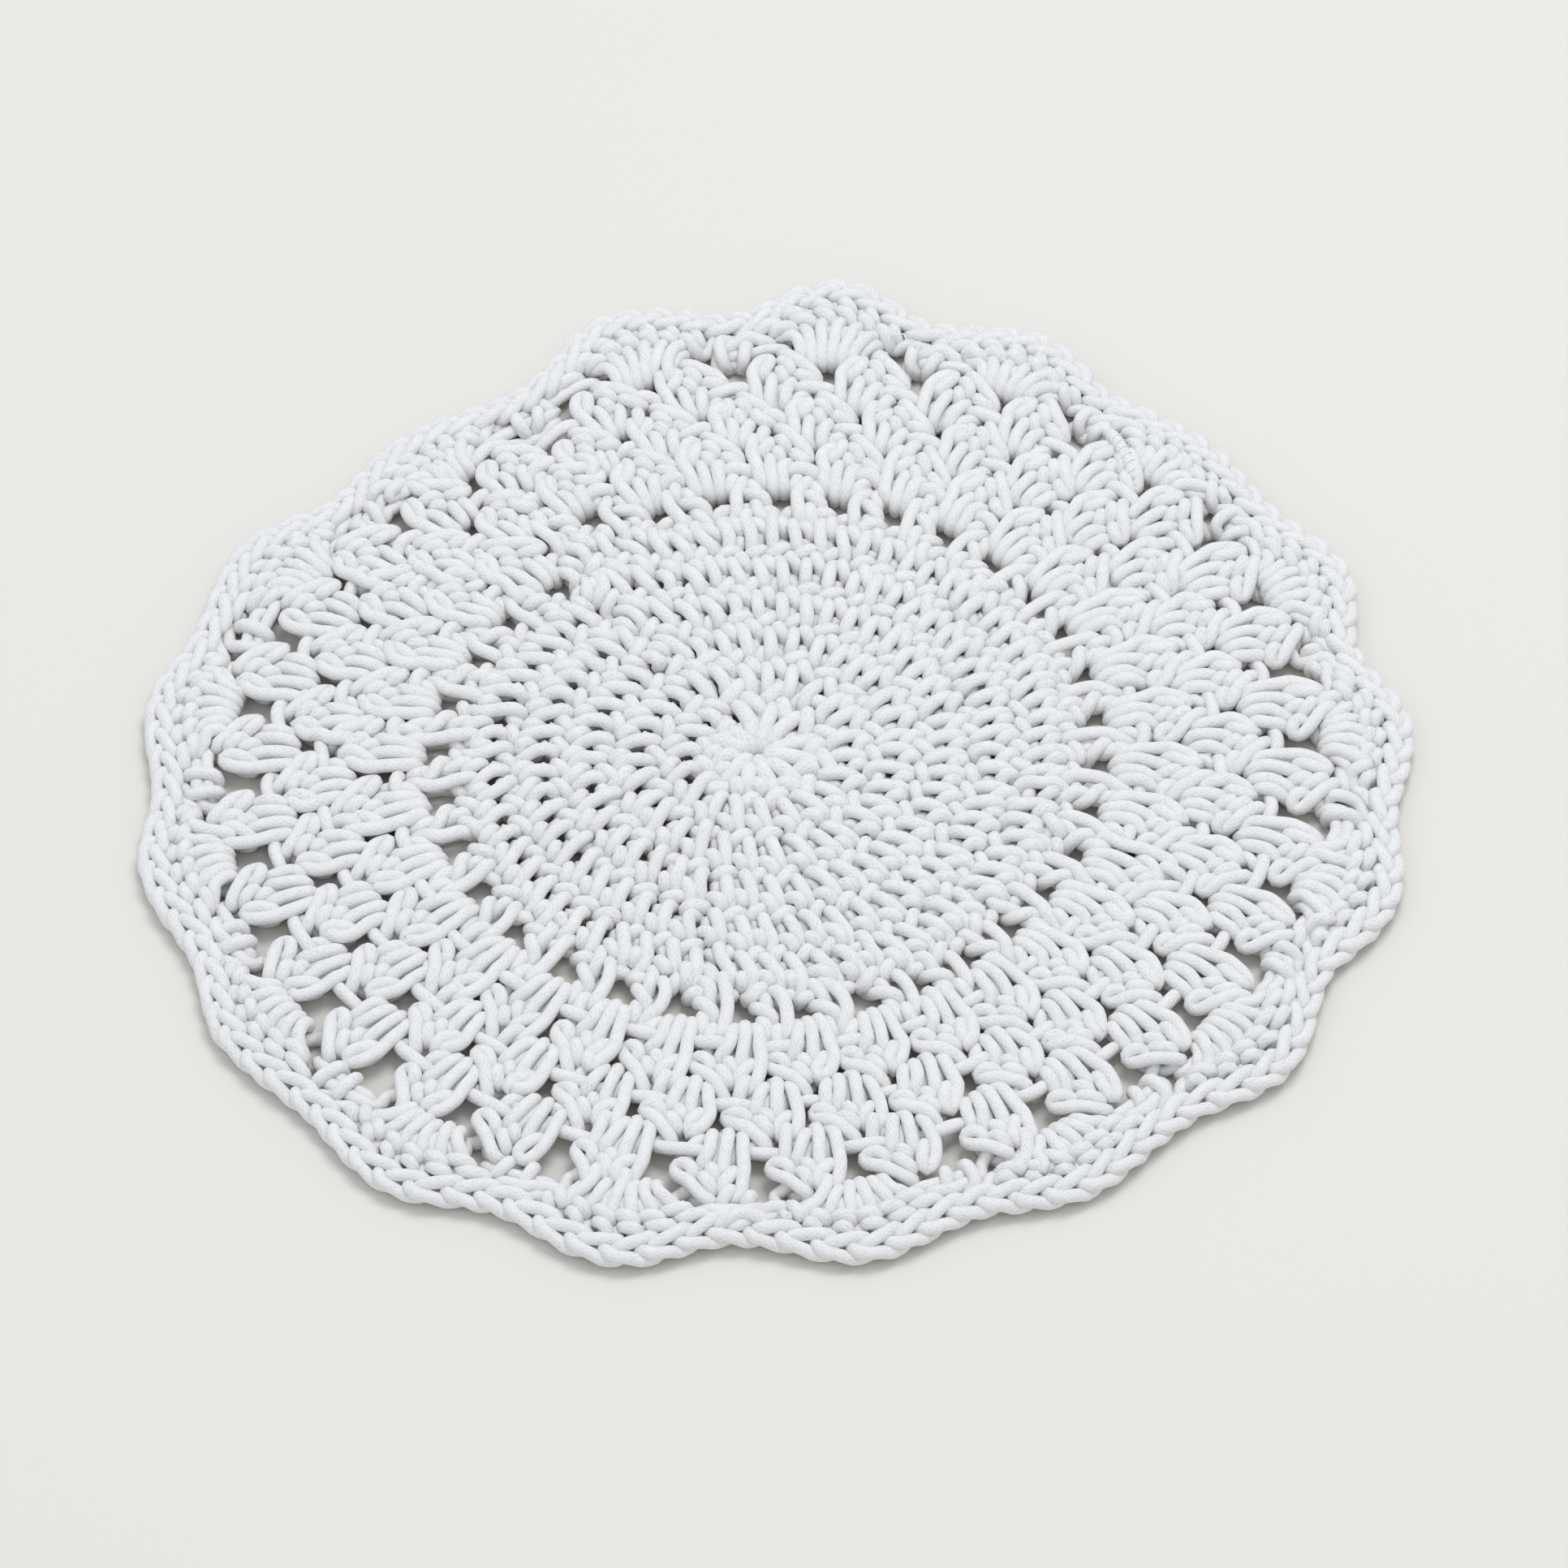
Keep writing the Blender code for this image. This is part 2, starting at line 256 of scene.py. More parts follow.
# A cluster: a long strand over its head, then four legs drawn in at the foot, each further on than
# the last, with short loops across the middle
CLUSTER = (
    # along pitches, along cords, out share, out cords, up
    (0.00, 2.40, 0.92, 0.00, 0.70),
    (0.00, 1.70, 0.86, 0.00, 0.60),
    (0.00, 0.90, 0.76, 0.00, 1.00),
    (0.00, 0.75, 0.66, 0.00, 1.70),
    (0.00, 1.35, 0.56, 0.00, 2.20),
    (0.00, 2.05, 0.46, 0.00, 2.05),
    (0.00, 2.60, 0.44, 0.00, 1.70),
    (0.00, 2.80, 0.53, 0.00, 1.40),
    (0.00, 2.50, 0.64, 0.00, 1.70),
    (0.00, 1.80, 0.74, 0.00, 2.15),
    (0.00, 1.05, 0.87, 0.00, 2.25),
    (0.00, 0.30, 1.01, 0.00, 2.10),
    (0.00, -0.35, 1.12, 0.00, 1.70),
    (0.00, -0.60, 1.14, 0.00, 0.90),
    (0.00, 0.20, 1.00, 0.00, 0.60),
    (0.00, 1.00, 0.84, 0.00, 0.60),
    (0.00, 1.70, 0.62, 0.00, 0.80),
    (0.00, 2.00, 0.42, 0.00, 1.20),
    (0.00, 1.85, 0.26, 0.00, 1.75),
    (0.00, 1.60, 0.08, 0.00, 2.00),
    (0.00, 1.40, -0.10, 0.00, 1.70),
    (0.00, 1.25, -0.18, 0.00, 0.90),
    (0.00, 1.05, 0.00, 0.00, 1.00),
    (0.00, 1.10, 0.22, 0.00, 1.45),
    (0.00, 0.90, 0.05, 0.00, 1.10),
    (0.00, 0.65, -0.16, 0.00, 0.70),
    (0.00, 0.50, -0.18, 0.00, 1.30),
    (0.00, 0.50, -0.08, 0.00, 2.10),
    (0.00, 0.55, 0.12, 0.00, 2.30),
    (0.00, 0.65, 0.34, 0.00, 2.00),
    (0.00, 0.75, 0.52, 0.00, 1.20),
    (0.00, 0.85, 0.66, 0.00, 0.60),
    (0.00, 0.60, 0.84, 0.00, 0.60),
    (0.00, -0.20, 0.96, 0.00, 0.90),
    (0.00, -0.50, 0.92, 0.00, 1.70),
    (0.00, 0.05, 0.80, 0.00, 2.35),
    (0.00, 0.55, 0.68, 0.00, 2.00),
    (0.00, 0.70, 0.62, 0.00, 1.10),
    (0.00, 0.10, 0.68, 0.00, 0.80),
    (0.00, -0.35, 0.68, 0.00, 1.40),
    (0.00, -0.10, 0.58, 0.00, 2.15),
    (0.00, 0.45, 0.48, 0.00, 1.90),
    (0.00, 0.50, 0.36, 0.00, 1.10),
    (0.00, -0.05, 0.12, 0.00, 1.45),
    (0.00, -0.30, -0.16, 0.00, 0.70),
    (0.00, -0.60, -0.20, 0.00, 1.30),
    (0.00, -0.60, -0.10, 0.00, 2.10),
    (0.00, -0.62, 0.10, 0.00, 2.30),
    (0.00, -0.70, 0.32, 0.00, 2.20),
    (0.00, -0.85, 0.54, 0.00, 1.70),
    (0.00, -0.90, 0.70, 0.00, 0.90),
    (0.00, -1.15, 0.46, 0.00, 1.00),
    (0.00, -1.20, 0.12, 0.00, 1.45),
    (0.00, -1.40, -0.16, 0.00, 0.70),
    (0.00, -1.60, -0.18, 0.00, 1.30),
    (0.00, -1.66, -0.08, 0.00, 2.00),
    (0.00, -1.80, 0.10, 0.00, 2.20),
    (0.00, -2.05, 0.32, 0.00, 2.20),
    (0.00, -2.28, 0.54, 0.00, 2.10),
    (0.00, -2.30, 0.76, 0.00, 2.00),
    (0.00, -1.95, 0.94, 0.00, 1.80),
    (0.00, -1.35, 1.00, 0.00, 1.60),
    (0.00, -1.15, 0.86, 0.00, 2.10),
    (0.00, -1.35, 0.66, 0.00, 2.25),
    (0.00, -1.50, 0.46, 0.00, 1.70),
    (0.00, -1.50, 0.42, 0.00, 0.90),
    (0.00, -1.00, 0.80, 0.00, 0.60),
)

# The loop of chain from one stitch's head to the next
LINK = (
    # along pitches, along cords, out share, out cords, up
    (0.12, 0.00, 1.00, 0.50, 0.70),
    (0.20, 0.00, 1.00, 0.80, 1.10),
    (0.12, 0.00, 1.00, 1.30, 1.70),
    (-0.05, 0.00, 1.00, 1.50, 2.00),
    (-0.20, 0.00, 1.00, 1.40, 1.90),
    (-0.34, 0.00, 1.00, 1.10, 1.50),
    (-0.46, 0.00, 1.00, 0.80, 0.90),
)

# The same below the fans, where it lies lower and runs on, back and on again
LOW_LINK = (
    # along pitches, along cords, out share, out cords, up
    (0.04, 0.00, 1.00, 0.60, 0.70),
    (0.06, 0.00, 1.00, 1.30, 1.10),
    (-0.10, 0.00, 1.00, 1.30, 1.50),
    (-0.30, 0.00, 1.00, 1.20, 1.40),
    (-0.50, 0.00, 1.00, 1.10, 1.20),
    (-0.68, 0.00, 1.00, 0.80, 1.00),
    (-0.60, 0.00, 1.00, 1.80, 0.60),
    (-0.30, 0.00, 1.00, 2.20, 0.70),
    (-0.08, 0.00, 1.00, 2.40, 1.00),
    (-0.26, 0.00, 1.00, 2.30, 1.40),
    (-0.50, 0.00, 1.00, 2.00, 1.20),
    (-0.72, 0.00, 1.00, 1.40, 0.90),
)

# Three long runs that bridge the gap between the clusters and the fans at the seam
SEAM_LINK = (
    # along pitches, along cords, out share, out cords, up
    (0.00, 3.50, 1.00, 1.20, 1.00),
    (0.00, 1.50, 1.00, 1.00, 1.10),
    (0.00, -0.50, 1.00, 1.00, 1.10),
    (0.00, -2.50, 1.00, 0.80, 1.30),
    (0.00, -4.50, 1.00, 0.20, 1.40),
    (0.00, -5.30, 1.00, -0.40, 0.90),
    (0.00, -4.20, 1.00, -0.90, 0.80),
    (0.00, -2.00, 1.00, -0.20, 0.80),
    (0.00, 0.50, 1.00, 0.00, 0.80),
    (0.00, 2.60, 1.00, 0.10, 1.20),
    (0.00, 3.20, 1.00, 0.60, 0.70),
    (0.00, 1.00, 1.00, 1.70, 0.50),
    (0.00, -2.00, 1.00, 1.70, 0.50),
)

# One link of the edge's chain: its outer limb, its inner limb and the run beneath to the next
EDGE_LINK = (
    # along pitches, along cords, out share, out cords, up
    (0.0, 1.5, 1.0, 0.9, 0.70),
    (0.0, 2.0, 1.0, 1.2, 1.20),
    (0.0, 1.1, 1.0, 1.75, 1.55),
    (0.0, -0.2, 1.0, 1.9, 1.45),
    (0.0, -1.4, 1.0, 1.6, 1.00),
    (0.0, -2.0, 1.0, 0.9, 0.70),
    (0.0, -1.6, 1.0, 0.35, 1.30),
    (0.0, -0.4, 1.0, 0.65, 1.90),
    (0.0, 0.8, 1.0, 1.1, 1.80),
    (0.0, 1.5, 1.0, 1.1, 1.10),
    (0.0, 0.6, 1.0, 0.6, 0.55),
    (0.0, -0.6, 0.97, 0.2, 0.55),
)

# A fan's tall stitch: a loop below the edge, a leg down to the foot and one up, a second loop
FAN_STITCH = (
    # along pitches, along cords, out share, out cords, up
    (0.0, 1.00, 0.72, 0.0, 0.80),
    (0.0, 0.70, 0.79, 0.0, 1.70),
    (0.0, 0.05, 0.86, 0.0, 2.30),
    (0.0, -0.60, 0.95, 0.0, 1.80),
    (0.0, -0.85, 0.97, 0.0, 0.90),
    (0.0, -0.10, 0.82, 0.0, 0.55),
    (0.0, 0.65, 0.62, 0.0, 1.20),
    (0.0, 0.72, 0.42, 0.0, 1.75),
    (0.0, 0.52, 0.22, 0.0, 1.55),
    (0.0, 0.36, 0.04, 0.0, 0.90),
    (0.0, 0.20, -0.11, 0.0, 0.60),
    (0.0, 0.00, -0.13, 0.0, 1.20),
    (0.0, 0.00, -0.03, 0.0, 2.15),
    (0.0, 0.00, 0.20, 0.0, 2.35),
    (0.0, -0.02, 0.42, 0.0, 2.20),
    (0.0, -0.12, 0.57, 0.0, 1.60),
    (0.0, -0.42, 0.67, 0.0, 1.10),
    (0.0, -0.62, 0.76, 0.0, 1.40),
    (0.0, -0.10, 0.70, 0.0, 2.30),
    (0.0, 0.55, 0.61, 0.0, 2.15),
    (0.0, 1.00, 0.53, 0.0, 1.20),
    (0.0, 1.15, 0.62, 0.0, 0.60),
    (0.0, 1.05, 0.80, 0.0, 1.00),
    (0.0, 0.75, 0.95, 0.0, 1.00),
) + EDGE_LINK

# The short stitch between fans: two legs over the strand below, joined underneath
SHORT_STITCH = (
    # along pitches, along cords, out share, out cords, up
    (0.0, 1.10, 0.90, 0.0, 0.80),
    (0.0, 1.00, 0.65, 0.0, 1.50),
    (0.0, 0.90, 0.35, 0.0, 1.90),
    (0.0, 0.85, 0.12, 0.2, 2.10),
    (0.0, 0.80, 0.00, 0.0, 1.60),
    (0.0, 0.60, 0.00, -0.1, 0.60),
    (0.0, 0.25, 0.10, 0.3, 0.50),
    (0.0, -0.25, 0.10, 0.3, 0.50),
    (0.0, -0.60, 0.00, -0.1, 0.60),
    (0.0, -0.85, 0.00, 0.0, 1.60),
    (0.0, -0.90, 0.12, 0.2, 2.10),
    (0.0, -0.95, 0.35, 0.0, 1.90),
    (0.0, -1.00, 0.65, 0.0, 1.50),
    (0.0, -0.90, 0.85, 0.0, 0.90),
) + EDGE_LINK

# Loose ends: rows of x and y in mm and up in cords, but the loop is in mm from the winding's end.
# The thread is wound on a part of the cord's end, given as shares of its length.
END_RADIUS = 0.48 * DRAWN
END_SPACING = 0.8 * MM
END_SIDES = 12
THREAD = 0.45 * MM
THREAD_SPACING = 0.3 * MM
THREAD_SIDES = 6
WINDINGS = 6
WINDING_POINTS = 16
WINDING_RADIUS = 0.53 * DRAWN
WOUND_PART = (0.35, 0.93)
CORD_END = (
    (106.8, 130.5, 0.9),
    (108.2, 127.5, 1.9),
    (110.3, 122.5, 2.55),
    (112.6, 117.0, 2.65),
    (114.6, 112.0, 2.35),
    (115.6, 109.2, 1.9),
)
THREAD_LOOP = (
    (0.8, 0.5, 0.5),
    (1.9, 0.9, 0.9),
    (2.7, 0.0, 0.6),
    (2.4, -1.4, 0.0),
    (1.4, -1.9, -0.8),
)
LOOSE_THREAD = (
    (41.5, 166.5, 2.2),
    (43.2, 164.6, 2.9),
    (45.6, 164.4, 3.0),
    (46.6, 162.6, 2.8),
    (48.8, 161.8, 2.9),
    (49.8, 159.8, 2.1),
)

# The cotton's relief. The braid has eight lines each way, which repeat 1.8 times in a cord width, so
# every 2.1 mm. Noise scales are counts a metre: the fuzz is 1.1 mm across.
BRAID_LINES = 8.0
BRAID_REPEATS = 1.8
BRAID_DEPTH = 0.4 * MM
BRAID_STRENGTH = 0.75
FUZZ_SCALE = 900.0
FUZZ_SHARE = 0.30

# The cotton's tones: a base that changes over 22 mm, dashes of 2.4 mm of painted shade in the braid's
# grooves, and specks, counted for each turn about the cord and each cord width along it. A range is
# the part of a noise over which the mark comes in, and a shade is how strong it is.
BASE_TONES = ("#e7e6e5", "#ecebea")
TONE_SCALE = 45.0
# Painted shade: the tone that darkens the braid's grooves where shadow would fall
GROOVE_SHADE_TONE = "#c5c4c2"
DASH_SCALE = 420.0
DASH_RANGE = (0.40, 0.62)
DASH_SHADE = 0.5
GROOVE_RANGE = (0.0, 0.05)
SPECK_TONE = "#c3c3c1"
SPECKS_ROUND = 22.0
SPECKS_ALONG = 4.5
SPECK_RANGE = (0.60, 0.74)
SPECK_SHADE = 0.8

LIGHTS = (
    # name, place in metres, side in metres, watts, linear colour
    ("window", (0.34, 0.42, 2.15), 1.0, 19.0, (0.96, 0.98, 1.0)),
    ("fill", (-1.4, -0.9, 1.6), 1.6, 3.0, (0.94, 0.97, 1.0)),
)


def linear(hexcode):
    """A colour written in sRGB hex as linear red, green and blue with full alpha."""
    channels = [int(hexcode[place : place + 2], 16) / 255 for place in (1, 3, 5)]
    return (*[c / 12.92 if c <= 0.04045 else ((c + 0.055) / 1.055) ** 2.4 for c in channels], 1.0)


def outline(angle):
    """Radius of the edge at angles: half cosine waves from each fan's crest to the dips beside it."""
    knots = np.empty(2 * len(DIP_ANGLES) + 1)
    radii = np.empty_like(knots)
    knots[::2], knots[1::2] = FAN_ANGLES, DIP_ANGLES
    radii[::2], radii[1::2] = CREST, DIP[:-1]
    angle = knots[0] + (angle - knots[0]) % 360
    place = np.clip(np.searchsorted(knots, angle) - 1, 0, len(knots) - 2)
    share = (angle - knots[place]) / (knots[place + 1] - knots[place])
    wave = 0.5 - 0.5 * np.cos(np.pi * share)
    return radii[place] + wave * (radii[place + 1] - radii[place])


def plain_foot(turn, angle):
    """Radius of a turn's foot, without care for how the turns join at the seam.

    In the centre it grows evenly with the turn, scaled to meet the dense centre's edge. Further
    out it is a share of the way from that edge to the fans' feet.
    """
    around = FAN_ANGLES[0] + (angle - FAN_ANGLES[0]) % 360
    inner = np.interp(around, FAN_ANGLES, INNER)
    past = (angle - SEAM) / 360
    centre = np.maximum(CENTRE_RISE * (np.minimum(turn, CENTRE_TURNS) + past) + CENTRE_START, 0)
    centre = centre * inner / (CENTRE_RISE * (CENTRE_TURNS + past) + CENTRE_START)
    fans = np.interp(around, FAN_ANGLES, FOOT)
    spread = inner + np.interp(turn, FEET_TURNS, FEET_SHARES) * (fans - inner)
    edge = outline(angle) - EDGE_WIDTH
    spread = spread + np.clip(turn - FAN_TURN, 0, 1) * (edge - spread)
    return np.where(turn <= CENTRE_TURNS, centre, spread)


def foot(turn, angle):
    """Radius of a turn's foot: near the seam it runs over into the foot of the next turn."""
    here = plain_foot(turn, angle)
    after = plain_foot(np.minimum(turn + 1, EDGE_TURN), angle - 360)
    share = np.clip((angle - SEAM - JOIN_START) / JOIN_SPAN, 0, 1)
    share = np.where(turn >= FAN_TURN, 0, share * share * (3 - 2 * share))
    return here + share * (after - here)


def lay(template, turn, feet, heads, pitch, stray):
    """Points of stitches: each template row placed for each stitch.

    The radius is the row's foot plus a share of the row's height plus cord widths. The angle goes
    from the stitch's foot to its head with the share, less the length along over the radius. In a
    fan it goes with a power of the share, which keeps the legs together at first. There the row's
    top is taken at each point's own angle, so the chain follows the edge. Last, all but the fans
    slip round.
    """
    pitches, cords, share, out, up = np.moveaxis(np.array(template)[None], -1, 0)
    turn, feet, heads, pitch = (np.asarray(v, float)[:, None] for v in (turn, feet, heads, pitch))
    aside, outwards, upwards, wider, taller = np.hsplit(stray, len(STRAY))
    risen = np.clip(share, 0, 1)
    axis = feet + (heads - feet) * risen ** np.where(turn < FAN_TURN, 1, FAN_CURVE)
    low = np.where(turn < 1, STAR_FOOT, foot(turn, axis))
    high = foot(turn + 1, axis)
    radius = low + share * (1 + taller) * (high - low) + out * CORD
    radius = np.maximum(radius, INNERMOST)
    growth = 1 + CLUSTER_GROWTH * np.clip(turn - CENTRE_TURNS - 1, 0, CLUSTER_TURNS - 1)
    wide = np.where(turn < FAN_TURN, growth, pitch / LINK_STEP)
    wide = wide * (1 + wider)
    sideways = cords * wide * CORD + aside * CORD * risen
    angle = axis - pitches * pitch - np.degrees(sideways / np.maximum(radius, TURNING_RADIUS))
    rim = np.where(turn < FAN_TURN, high, foot(EDGE_TURN, angle))
    radius = radius + risen * (rim - high)
    near = np.minimum(radius / SLIP_RADIUS, SLIP_RADIUS / radius)
    near = np.where(turn >= FAN_TURN, 0, near)
    angle = angle + near * (SLIP_ALL - SLIP * np.sin(np.radians(angle)))
    radius = radius + outwards * CORD
    around = np.radians(angle)
    height = (up + upwards) * CORD
    return np.stack((radius * np.cos(around), radius * np.sin(around), height), axis=-1)


def stitches():
    """Every stitch's kind, turn, foot angle, head angle and pitch in degrees, as worked."""
    rows = []
    for number in range(STAR_STITCHES):
        angle = SEAM + 360 * number / STAR_STITCHES
        rows.append(("star", 0, angle, angle, 360 / STAR_STITCHES))
    turn, angle = 1, SEAM
    while turn < CENTRE_TURNS:
        middle = CENTRE_RISE * (turn + 0.5 + (angle - SEAM) / 360) + CENTRE_START
        pitch = math.degrees(STITCH / middle)
        rows.append(("dense", turn, angle, angle + DENSE_LEAN, pitch))
        angle += pitch
        if angle > SEAM + 360:
            angle -= 360
            turn += 1
    for number in range(CLUSTERS_A_TURN):
        angle = FIRST_CLUSTER + REPEAT * (number + 0.5)
        rows.append(("post", CENTRE_TURNS, angle, angle + POST_LEAN, REPEAT))
    for number in range(CLUSTERS_A_TURN * CLUSTER_TURNS):
        turns, past = divmod(FIRST_CLUSTER - SEAM + REPEAT * number, 360)
        kind = "cluster" if turns < CLUSTER_TURNS - 1 else "last cluster"
        angle = SEAM + past
        turn = CENTRE_TURNS + 1 + int(turns)
        rows.append((kind, turn, angle + CLUSTER_FOOT, angle + CLUSTER_HEAD, REPEAT))
    angle = DIP_ANGLES[-1] + SEAM_LINK_PAST_DIP
    rows.append(("seam", FAN_TURN - 1, angle, angle, REPEAT))
    head = FAN_ANGLES[0] - (FAN_STITCHES + 1) / 2 * LINK_STEP
    for angle, dip in zip(FAN_ANGLES[:-1], DIP_ANGLES):
        last = dip == DIP_ANGLES[-1]
        step = LINK_STEP if last else (dip - head) / (FAN_STITCHES + 1)
        for number in range(FAN_STITCHES):
            share = number / (FAN_STITCHES - 1)
            start = angle + FAN_FEET[0] + share * (FAN_FEET[1] - FAN_FEET[0])
            head += step
            rows.append(("fan", FAN_TURN, start, head, step))
        for kind in LAST_GAP if last else ("short",):
            head += step
            rows.append((kind, FAN_TURN, head, head, step))
    return rows


def worked_cord(random):
    """The cord's points in working order, and for each the number of the turn it belongs to."""
    templates = {
        "star": DENSE_STITCH,
        "dense": DENSE_STITCH,
        "post": POST + LINK,
        "cluster": CLUSTER + LINK,
        "last cluster": CLUSTER + LOW_LINK,
        "seam": SEAM_LINK,
        "fan": FAN_STITCH,
        "short": SHORT_STITCH,
        "link": EDGE_LINK,
    }
    rows = stitches()
    kinds = np.array([row[0] for row in rows])
    numbers = np.array([row[1:] for row in rows], float)
    stray = random.normal(size=(len(rows), len(STRAY)))
    stray = np.clip(stray, -MOST_STRAY, MOST_STRAY) * STRAY
    stray[numbers[:, 0] >= FAN_TURN] *= EDGE_STRAY
    parts = [None] * len(rows)
    for kind, template in templates.items():
        chosen = np.flatnonzero(kinds == kind)
        placed = lay(template, *numbers[chosen].T, stray[chosen])
        for index, points in zip(chosen, placed):
            parts[index] = points
    counts = [len(part) for part in parts]
    turns = np.repeat(numbers[:, 0], counts)
    return np.concatenate(parts), turns


def even(points, turns, spacing):
    """Points at even spacing along a cubic through the given points, and the turn of each.

    Between two points the cubic starts and ends along the line that joins their neighbours.
    """
    padded = np.vstack((points[:1], points, points[-1:]))
    a, b, c, d = padded[:-3], padded[1:-2], padded[2:-1], padded[3:]
    steps = (np.arange(CURVE_STEPS) / CURVE_STEPS)[None, :, None]
    a, b, c, d = (v[:, None] for v in (a, b, c, d))
    curve = 0.5 * (
        2 * b
        + (c - a) * steps
        + (2 * a - 5 * b + 4 * c - d) * steps**2
        + (3 * b - a - 3 * c + d) * steps**3
    ).reshape(-1, 3)
    owner = np.repeat(turns[:-1], CURVE_STEPS)
    lengths = np.concatenate(([0], np.cumsum(np.linalg.norm(np.diff(curve, axis=0), axis=1))))
    stops = np.linspace(0, lengths[-1], int(lengths[-1] / spacing) + 1)
    spread = np.stack([np.interp(stops, lengths, curve[:, axis]) for axis in range(3)], axis=1)
    return spread, owner[np.clip(np.searchsorted(lengths, stops), 0, len(owner) - 1)]


def near_pairs(points, reach, apart):
    """Pairs of points closer than a reach that are more than a count apart along the cord.

    Points are sorted into cubes as wide as the reach, and each cube is compared with the thirteen
    that follow it among its neighbours and with itself.
    """
    cell = np.floor((points - points.min(axis=0)) / reach).astype(np.int64) + 1
    extent = cell.max(axis=0) + 2
    key = (cell[:, 0] * extent[1] + cell[:, 1]) * extent[2] + cell[:, 2]
    order = np.argsort(key, kind="stable")
    ranked = key[order]
    firsts, seconds = [], []
    offsets = [(x, y, z) for x in (-1, 0, 1) for y in (-1, 0, 1) for z in (-1, 0, 1)]
    for x, y, z in offsets[13:]:
        wanted = ranked + (x * extent[1] + y) * extent[2] + z
        start = np.searchsorted(ranked, wanted, "left")
        stop = np.searchsorted(ranked, wanted, "right")
        count = stop - start
        first = np.repeat(np.arange(len(order)), count)
        run = np.arange(count.sum()) - np.repeat(np.cumsum(count) - count, count)
        second = np.repeat(start, count) + run
        if (x, y, z) == (0, 0, 0):
            keep = second > first
            first, second = first[keep], second[keep]
        firsts.append(order[first])
        seconds.append(order[second])
    first, second = np.concatenate(firsts), np.concatenate(seconds)
    near = np.linalg.norm(points[first] - points[second], axis=1) < reach
    far_along = np.abs(first - second) > apart
    return first[near & far_along], second[near & far_along]


def settle(points, touch):
    """Strands pushed apart where they cross, while the cord keeps its length and its place.

    In each round, pairs of points nearer than their touching distance each take half of the push
    that parts them. Then neighbours along the cord are drawn back to their spacing, sharp bends are
    eased, each point is drawn a little towards where it began, and heights are kept between the
    table and the mat's crown.
    """
    home = points.copy()
    total = len(points)
    for step in range(ROUNDS):
        if step % SEARCH_EVERY == 0:
            first, second = near_pairs(points, SEARCH_REACH, PASSED_OVER)
            apart = (touch[first] + touch[second]) / 2
        gap = points[first] - points[second]
        length = np.maximum(np.linalg.norm(gap, axis=1), TINY)
        push = np.maximum(apart - length, 0) / length * 0.5
        push = gap * push[:, None]
        hits = (length < apart).astype(float)
        weight = np.bincount(first, hits, total) + np.bincount(second, hits, total)
        shift = np.empty_like(points)
        for axis in range(3):
            shift[:, axis] = np.bincount(first, push[:, axis], total)
            shift[:, axis] -= np.bincount(second, push[:, axis], total)
        shift /= np.maximum(weight, 1)[:, None] ** CROWDING
        points = points + PUSH * shift
        for _ in range(2):
            link = np.diff(points, axis=0)
            long = np.linalg.norm(link, axis=1)
            pull = link * (0.5 * (1 - SPACING / np.maximum(long, TINY)))[:, None] * PULL
            points[:-1] += pull
            points[1:] -= pull
        middle = (points[:-2] + points[2:]) / 2 - points[1:-1]
        points[1:-1] += EASE * middle
        points += HOMING * (home - points)
        points[:, 2] = np.clip(points[:, 2], LOWEST, HIGHEST)
    return points


def tube(points, radii, sides):
    """Vertices, faces and face-corner UVs of a round tube along points, closed at both ends.

    Each ring's first direction is the last ring's, less its part along the cord, so the tube
    doesn't twist. UVs are the share of the way round and the length along in cord widths.
    """
    along = np.gradient(points, axis=0)
    along /= np.maximum(np.linalg.norm(along, axis=1), TINY)[:, None]
    turned = parallel_normals(along)
    across = np.cross(along, turned)
    around = 2 * np.pi * np.arange(sides) / sides
    ring = turned[:, None] * np.cos(around)[None, :, None]
    ring = ring + across[:, None] * np.sin(around)[None, :, None]
    rings = points[:, None] + ring * radii[:, None, None]
    count = len(points)
    start = points[0] - along[0] * radii[0] * TIP
    stop = points[-1] + along[-1] * radii[-1] * TIP
    ends = np.stack((start, stop))
    vertices = np.concatenate((rings.reshape(-1, 3), ends))
    i = np.arange(count - 1)[:, None] * sides
    j = np.arange(sides)[None]
    k = (j + 1) % sides
    sheet = np.stack((i + j, i + k, i + sides + k, i + sides + j), axis=-1).reshape(-1, 4)
    tips = count * sides
    last = tips - sides
    first_cap = np.stack((np.full(sides, tips), k[0], j[0]), axis=1)
    last_cap = np.stack((np.full(sides, tips + 1), last + j[0], last + k[0]), axis=1)
    length = np.concatenate(([0], np.cumsum(np.linalg.norm(np.diff(points, axis=0), axis=1))))
    length = length / CORD
    u = np.stack((j, j + 1, j + 1, j), axis=-1) / sides
    u = np.broadcast_to(u, (count - 1, sides, 4))
    v = np.stack((length[:-1], length[:-1], length[1:], length[1:]), axis=-1)
    v = np.broadcast_to(v[:, None], (count - 1, sides, 4))
    uv = np.stack((u, v), axis=-1).reshape(-1, 2)
    cap_u = np.stack((j[0] + 0.5, j[0] + 1, j[0]), axis=1).reshape(-1) / sides
    caps = np.stack((cap_u, np.zeros_like(cap_u)), axis=1)
    caps_end = np.stack((cap_u, np.full_like(cap_u, length[-1])), axis=1)
    return vertices, (sheet, first_cap, last_cap), np.concatenate((uv, caps, caps_end))


